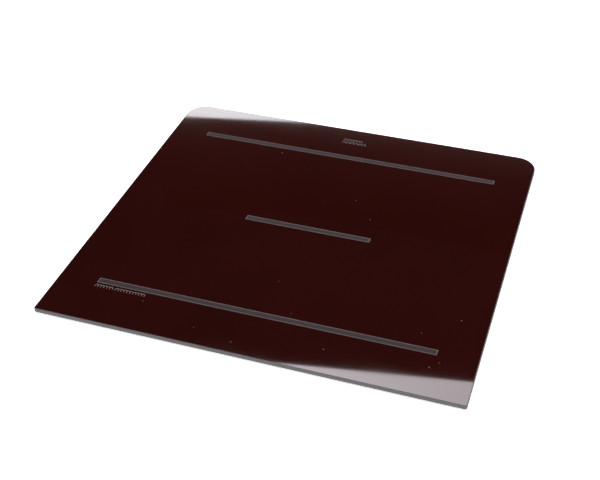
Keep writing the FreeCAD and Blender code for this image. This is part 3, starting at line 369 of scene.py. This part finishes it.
def ceramic():
    """Pressed, unglazed ceramic with a fine grain."""
    s = Surface("pressed_ceramic", (0.80, 0.785, 0.74), 0.55)
    s.tint(s.mottle(0.003, 3.0), 0.92, 1.05)
    s.set("Roughness", s.mottle(0.002, 3.0, low=0.44, high=0.66))
    s.bump(s.noise(0.0003, 3.0), 0.02 * MM, 0.6)
    return s.material


def motor_can():
    """Drawn can with circular turning marks and light handling dulls."""
    s = Surface("drawn_can", (0.55, 0.555, 0.56), 0.30, metallic=1.0)
    s.tint(s.mottle(0.0006, 2.0, stretch=(1.0, 1.0, 8.0)), 0.88, 1.08)
    s.set("Roughness", s.mottle(0.006, 3.0, low=0.22, high=0.40))
    s.bump(s.noise(0.0004, 2.0), 0.008 * MM, 0.5)
    return s.material


def circuit_board():
    """Green solder mask over raised tracks, with bare tinned pads."""
    s = Surface("solder_mask", (0.012, 0.110, 0.045), 0.30)
    track = s.fit(s.cells(0.011, "Distance", feature="DISTANCE_TO_EDGE"), 0.04, 0.07, 1.0, 0.0)
    pad = s.fit(s.cells(0.0065, "Distance"), 0.09, 0.11, 1.0, 0.0)
    green = s.mix(track, (0.010, 0.085, 0.036), (0.020, 0.160, 0.066))
    s.set("Base Color", s.mix(pad, green, (0.70, 0.69, 0.66)))
    s.set("Metallic", pad)
    s.set("Roughness", s.mottle(0.008, 3.0, low=0.22, high=0.38))
    s.bump(s.math("MAXIMUM", track, pad), 0.04 * MM, 0.8)
    return s.material


def enamelled_copper():
    """Single copper wire under a clear glossy enamel."""
    s = Surface("enamelled_copper", (0.58, 0.22, 0.09), 0.24, metallic=1.0)
    s.tint(s.mottle(0.002, 3.0), 0.78, 1.15)
    s.set("Roughness", s.mottle(0.001, 2.0, low=0.18, high=0.32))
    s.bump(s.noise(0.0006, 2.0), 0.01 * MM, 0.5)
    return s.material


def machined_brass():
    """Turned brass with fine tool lines and slight tarnish."""
    s = Surface("machined_brass", (0.72, 0.52, 0.24), 0.28, metallic=1.0)
    s.tint(s.mottle(0.003, 4.0), 0.82, 1.10)
    s.set("Roughness", s.mottle(0.0015, 3.0, low=0.20, high=0.40))
    s.bump(s.noise(0.0004, 2.0, stretch=(1.0, 6.0, 1.0)), 0.01 * MM, 0.5)
    return s.material


surfaces = {
    "glass_ceramic": glass_ceramic(),
    "print_outline": fired_enamel("enamel_outline", (0.104, 0.091, 0.090)),
    "print_field": fired_enamel("enamel_hatch", (0.052, 0.036, 0.039), 0.9 * MM),
    "print_symbols": fired_enamel("enamel_symbols", (0.185, 0.172, 0.172)),
    "seal_foam": foam(),
    "silicone": silicone(),
    "zinc_steel": zinc_sheet(),
    "aluminium": mill_aluminium(),
    "screw_steel": plated_steel(),
    "mica": mica(),
    "litz_copper": litz(),
    "laminate": laminate(),
    "ferrite": ferrite(),
    "spring_steel": spring_wire(),
    "white_ceramic": ceramic(),
    "holder_plastic": moulded("filled_plastic", (0.20, 0.185, 0.165), 0.52),
    "black_plastic": moulded("black_plastic", (0.022, 0.022, 0.024), 0.42),
    "motor_metal": motor_can(),
    "circuit_board": circuit_board(),
    "chip_resin": moulded("moulding_resin", (0.026, 0.026, 0.028), 0.58, grain=0.00025),
    "capacitor_case": moulded("capacitor_case", (0.56, 0.36, 0.06), 0.30, relief=0.012),
    "magnet_wire": enamelled_copper(),
    "grey_plastic": moulded("grey_plastic", (0.24, 0.25, 0.26), 0.46),
    "terminal_white": moulded("terminal_plastic", (0.74, 0.73, 0.68), 0.40, relief=0.015),
    "brass": machined_brass(),
    "wire_sheath": moulded("wire_sheath", (0.055, 0.055, 0.060), 0.34, grain=0.0012, relief=0.02),
}


def finish_nodes():
    """Gives every CAD node the surface of the material slot that the record states for it. The small
    symbols are of a paler enamel than the outlines of the bars."""
    for name, slot in slots.items():
        mesh = nodes[name]
        surface = surfaces["print_symbols" if name == "symbol_prints" else slot]
        if not mesh.material_slots:
            mesh.data.materials.append(surface)
        for entry in mesh.material_slots:
            entry.material = surface


finish_nodes()


def pressed_copies():
    """Springs and leads that a joint presses are shown by copies attached to the joint's parent body, and
    the original nodes are hidden.
    """
    for joint in frame["record"]["behaviour"]["joints"]:
        for entry in joint.get("deforming_nodes", []):
            node = nodes[entry["node"]]
            shown = node.copy()
            shown.data = node.data.copy()
            shown.name = entry["node"] + "_shown"
            bpy.context.scene.collection.objects.link(shown)
            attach(shown, joint["parent"])
            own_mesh(shown)
            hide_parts(entry["node"])


pressed_copies()


# ---------------------------------------------------------------- stage
def stage_surface(name, roughness, glow):
    """Matt white that glows a little, so that it stays white in the shade."""
    s = Surface(name, (0.88, 0.88, 0.88), roughness)
    s.set("Emission Color", WHITE)
    s.set("Emission Strength", glow)
    s.tint(s.mottle(0.3, 2.0), 0.99, 1.01)
    return s.material


def mesh_object(name, build, material):
    """Object whose mesh is what build adds to an empty bmesh."""
    bm = bmesh.new()
    build(bm)
    mesh = bpy.data.meshes.new(name)
    bm.to_mesh(mesh)
    bm.free()
    mesh.materials.append(material)
    made = bpy.data.objects.new(name, mesh)
    bpy.context.scene.collection.objects.link(made)
    return made


def worktop(bm):
    """Thin board under the rim of the glass, with the cut-out for the hob."""
    def corners_past_glass(margin):
        half_w, half_d = glass_far.x + margin, glass_far.y + margin
        return [(-half_w, -half_d), (half_w, -half_d), (half_w, half_d), (-half_w, half_d)]

    def rings(z):
        outlines = corners_past_glass(BOARD_PAST_GLASS), corners_past_glass(-BOARD_UNDER_GLASS)
        return [[bm.verts.new((x, y, z)) for x, y in corners] for corners in outlines]

    top_out, top_in = rings(0.0)
    low_out, low_in = rings(-BOARD_THICKNESS)
    for k in range(4):
        n = (k + 1) % 4
        bm.faces.new((top_out[k], top_out[n], top_in[n], top_in[k]))
        bm.faces.new((low_out[n], low_out[k], low_in[k], low_in[n]))
        bm.faces.new((top_out[n], top_out[k], low_out[k], low_out[n]))
        bm.faces.new((top_in[k], top_in[n], low_in[n], low_in[k]))


def ground(bm):
    """Square that reaches FLOOR_HALF to each side."""
    corners = ((-1, -1), (1, -1), (1, 1), (-1, 1))
    bm.faces.new([bm.verts.new((x * FLOOR_HALF, y * FLOOR_HALF, 0.0)) for x, y in corners])


board = mesh_object("worktop_board", worktop, stage_surface("board_white", roughness=0.8, glow=0.62))
floor = mesh_object("pale_floor", ground, stage_surface("floor_white", roughness=0.9, glow=0.98))
floor.location.z = FLOOR_Z


def panel(name, first, second, colour, brightness):
    """Glowing strip between two rows of points. Brightness is a number, or a function that gets the graph
    and the place on the strip (X across it and Y along it, both 0..1) and returns the strength."""
    material = bpy.data.materials.new(name)
    material.use_nodes = True
    graph = Graph(material.node_tree)
    graph.tree.nodes.clear()
    glow = graph.add("ShaderNodeEmission")
    graph.plug(glow, "Color", (*colour, 1.0))
    graph.plug(graph.add("ShaderNodeOutputMaterial"), "Surface", glow.outputs[0])
    if callable(brightness):
        place = graph.split(graph.add("ShaderNodeUVMap", uv_map="place").outputs[0])
        brightness = brightness(graph, place)
    graph.plug(glow, "Strength", brightness)

    def build(bm):
        layer = bm.loops.layers.uv.new("place")
        rows = [[bm.verts.new(point) for point in row] for row in (first, second)]
        last = len(first) - 1
        for k in range(last):
            corners = ((0, k), (0, k + 1), (1, k + 1), (1, k))
            face = bm.faces.new([rows[side][step] for side, step in corners])
            for loop, (side, step) in zip(face.loops, corners):
                loop[layer].uv = (side, step / last)

    mesh_object(name, build, material)


def shifted(points, dy, dz):
    """The points moved along Y and Z."""
    return [(x, y + dy, z + dz) for x, y, z in points]


def halo(graph, place):
    """Wide dim glow, a brighter one near the edge and a thin bright line at it."""
    total = DARK_AIR
    for power, gain in ((2.0, 0.045), (8.0, 0.12), (75.0, 0.34)):
        glow = graph.math("MULTIPLY", graph.math("POWER", place["X"], power), gain)
        total = graph.math("ADD", glow, total)
    return total


def dimmer_to_the_right(graph, place):
    """Even near both ends of the strip and fading between them."""
    return graph.fit(place["Y"], 0.25, 0.75, 9.3, 6.6)


# Low card behind the plate: the rear left of the plate mirrors its upper edge.
# The halo above it fades upwards.
low_edge = [(-1.30, 2.2, 1.401), (-0.72, 2.2, 1.3256), (0.60, 2.2, 1.3256)]
low_card_top = [low_edge[0], (0.60, 2.2, 1.154)]
panel("low_card", low_card_top, shifted(low_card_top, 0.0, -0.13), (0.995, 0.96, 1.0), 8.5)
panel("halo", shifted(low_edge, 0.01, 0.40), shifted(low_edge, 0.01, 0.0), (1.1, 0.74, 0.70), halo)
# High card: the front right of the plate mirrors its rear edge.
high_edge = [(-0.90, 1.300, 1.6), (0.40, 1.525, 1.6)]
panel("high_card", high_edge, shifted(high_edge, -0.60, 0.25), (1.0, 0.93, 0.975), dimmer_to_the_right)


def softbox(name, place, target, width, depth, radiance):
    """Area light aimed at a point, given the brightness of its face."""
    light = bpy.data.lights.new(name, "AREA")
    light.shape, light.size, light.size_y = "RECTANGLE", width, depth
    light.energy = radiance * math.pi * width * depth
    lamp = bpy.data.objects.new(name, light)
    bpy.context.scene.collection.objects.link(lamp)
    lamp.location = place
    lamp.rotation_euler = (Vector(target) - Vector(place)).to_track_quat("-Z", "Y").to_euler()


softbox("top_softbox", (0.1, -0.7, 2.0), (0.0, 0.0, 0.0), width=1.6, depth=1.2, radiance=4.6)
softbox("rear_softbox", (1.0, 1.1, 0.8), (0.1, 0.1, 0.0), width=0.8, depth=0.5, radiance=3.4)
softbox("left_fill", (-2.2, -0.9, -0.35), (0.0, 0.0, -0.04), width=1.0, depth=0.6, radiance=1.0)
softbox("right_fill", (2.2, 0.9, -0.35), (0.0, 0.0, -0.04), width=1.0, depth=0.6, radiance=0.6)


def backdrop():
    """World that is pale round the horizon and dim overhead, so that polished faces mirror mostly dark."""
    world = bpy.data.worlds.new("backdrop")
    bpy.context.scene.world = world
    world.use_nodes = True
    graph = Graph(world.node_tree)
    height = graph.split(graph.add("ShaderNodeTexCoord").outputs["Generated"])["Z"]
    sky = graph.tree.nodes["Background"]
    graph.plug(sky, "Strength", graph.fit(height, HAZE_LOW, HAZE_HIGH, PALE_AIR, DARK_AIR))
    graph.plug(sky, "Color", WHITE)


backdrop()


# ---------------------------------------------------------------- camera
def camera(azimuth, elevation, roll, distance, aim, lens):
    """Camera on a sphere about the point it is aimed at; angles in degrees, azimuth 0 looks along +Y."""
    a, e = math.radians(azimuth), math.radians(elevation)
    back = Vector((math.sin(a) * math.cos(e), -math.cos(a) * math.cos(e), math.sin(e)))
    data = bpy.data.cameras.new("camera")
    data.sensor_width = 36.0
    data.lens = lens
    data.clip_end = 2 * FLOOR_HALF
    made = bpy.data.objects.new("camera", data)
    bpy.context.scene.collection.objects.link(made)
    aimed = (-back).to_track_quat("-Z", "Y").to_matrix().to_4x4()
    rolled = aimed @ Matrix.Rotation(math.radians(roll), 4, "Z")
    made.matrix_world = Matrix.Translation(Vector(aim) + back * distance) @ rolled
    bpy.context.scene.camera = made


camera(azimuth=19.0, elevation=37.87, roll=-0.93, distance=0.926,
       aim=(0.0, -0.0178, glass_far.z), lens=64.8)
bpy.context.scene.view_settings.view_transform = "Standard"
